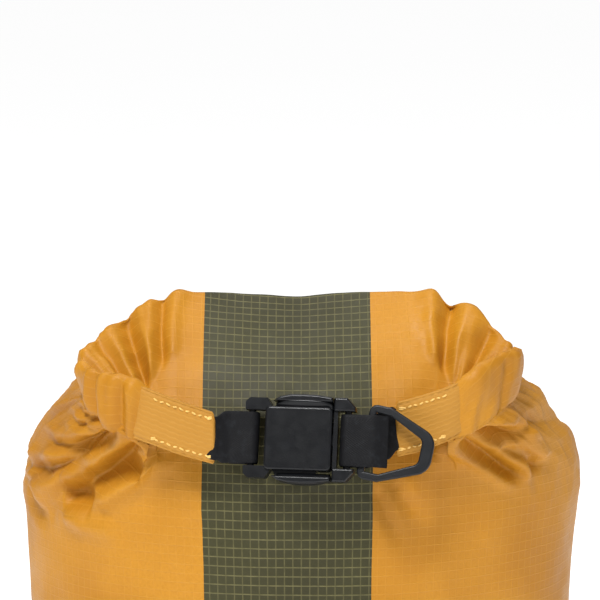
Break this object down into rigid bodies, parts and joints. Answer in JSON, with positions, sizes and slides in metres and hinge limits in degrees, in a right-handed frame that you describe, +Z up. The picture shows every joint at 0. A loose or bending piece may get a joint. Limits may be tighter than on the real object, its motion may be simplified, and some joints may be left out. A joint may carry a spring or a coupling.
{
  "type": "stuff sack",
  "caption": "Roll-top dry bag style stuff sack, oval, with a contrasting front stripe, rolled mouth bent into a loop and closed by a side-release buckle with a lashing ring.",
  "frame": {"origin": "middle of the flat base, on the plane that the sack stands on", "axes": "+X to the right as the closed buckle is seen from the front, +Y to the back, +Z up"},
  "size_m": [0.2178, 0.166, 0.2989],
  "materials": {
    "orange_cloth": "ochre coated ripstop nylon",
    "olive_cloth": "dark olive ripstop nylon with a pale grid",
    "hem_cloth": "folded ochre ripstop",
    "tape": "translucent seam tape",
    "stiffener": "thin moulded strip",
    "thread": "polyester sewing thread",
    "webbing": "rubber coated webbing",
    "buckle": "moulded acetal, satin gloss",
    "ring": "moulded acetal, satin gloss"
  },
  "bodies": {
    "sack": {"main_panel": "orange_cloth", "stripe_panel": "olive_cloth", "base_panel": "orange_cloth", "seam_tape_left": "tape", "seam_tape_right": "tape", "base_seam_tape": "tape", "roll_left": "orange_cloth", "roll_stripe": "olive_cloth", "roll_right": "orange_cloth", "mouth_hem": "hem_cloth", "hem_stiffener": "stiffener", "tab_stitching_left": "thread", "tab_stitching_right": "thread", "strap_left": "webbing", "strap_right": "webbing", "buckle_socket": "buckle"},
    "plug": {"buckle_plug": "buckle"},
    "upper_prong": {"prong_upper": "buckle"},
    "lower_prong": {"prong_lower": "buckle"},
    "ring": {"d_ring": "ring"}
  },
  "joints": [
    {"name": "buckle_release", "type": "slide", "parent": "sack", "child": "plug", "axis": [0.9903, -0.1392, 0], "range_m": [0, 0.024], "deforming": ["strap_right", "prong_upper", "prong_lower"]},
    {"name": "prong_upper_squeeze", "type": "hinge", "parent": "plug", "child": "upper_prong", "pos_m": [0.01212, -0.08024, 0.26401], "axis": [-0.1324, -0.9418, 0.309], "range_deg": [0, 5], "stiffness_Nm_per_rad": 0.8},
    {"name": "prong_lower_squeeze", "type": "hinge", "parent": "plug", "child": "lower_prong", "pos_m": [0.01144, -0.08507, 0.24899], "axis": [0.1324, 0.9418, -0.309], "range_deg": [0, 5], "stiffness_Nm_per_rad": 0.8},
    {"name": "ring_swing", "type": "hinge", "parent": "plug", "child": "ring", "pos_m": [0.02377, -0.08434, 0.2565], "axis": [-0.2143, -0.2772, -0.9366], "range_deg": [0, 95]}
  ]
}
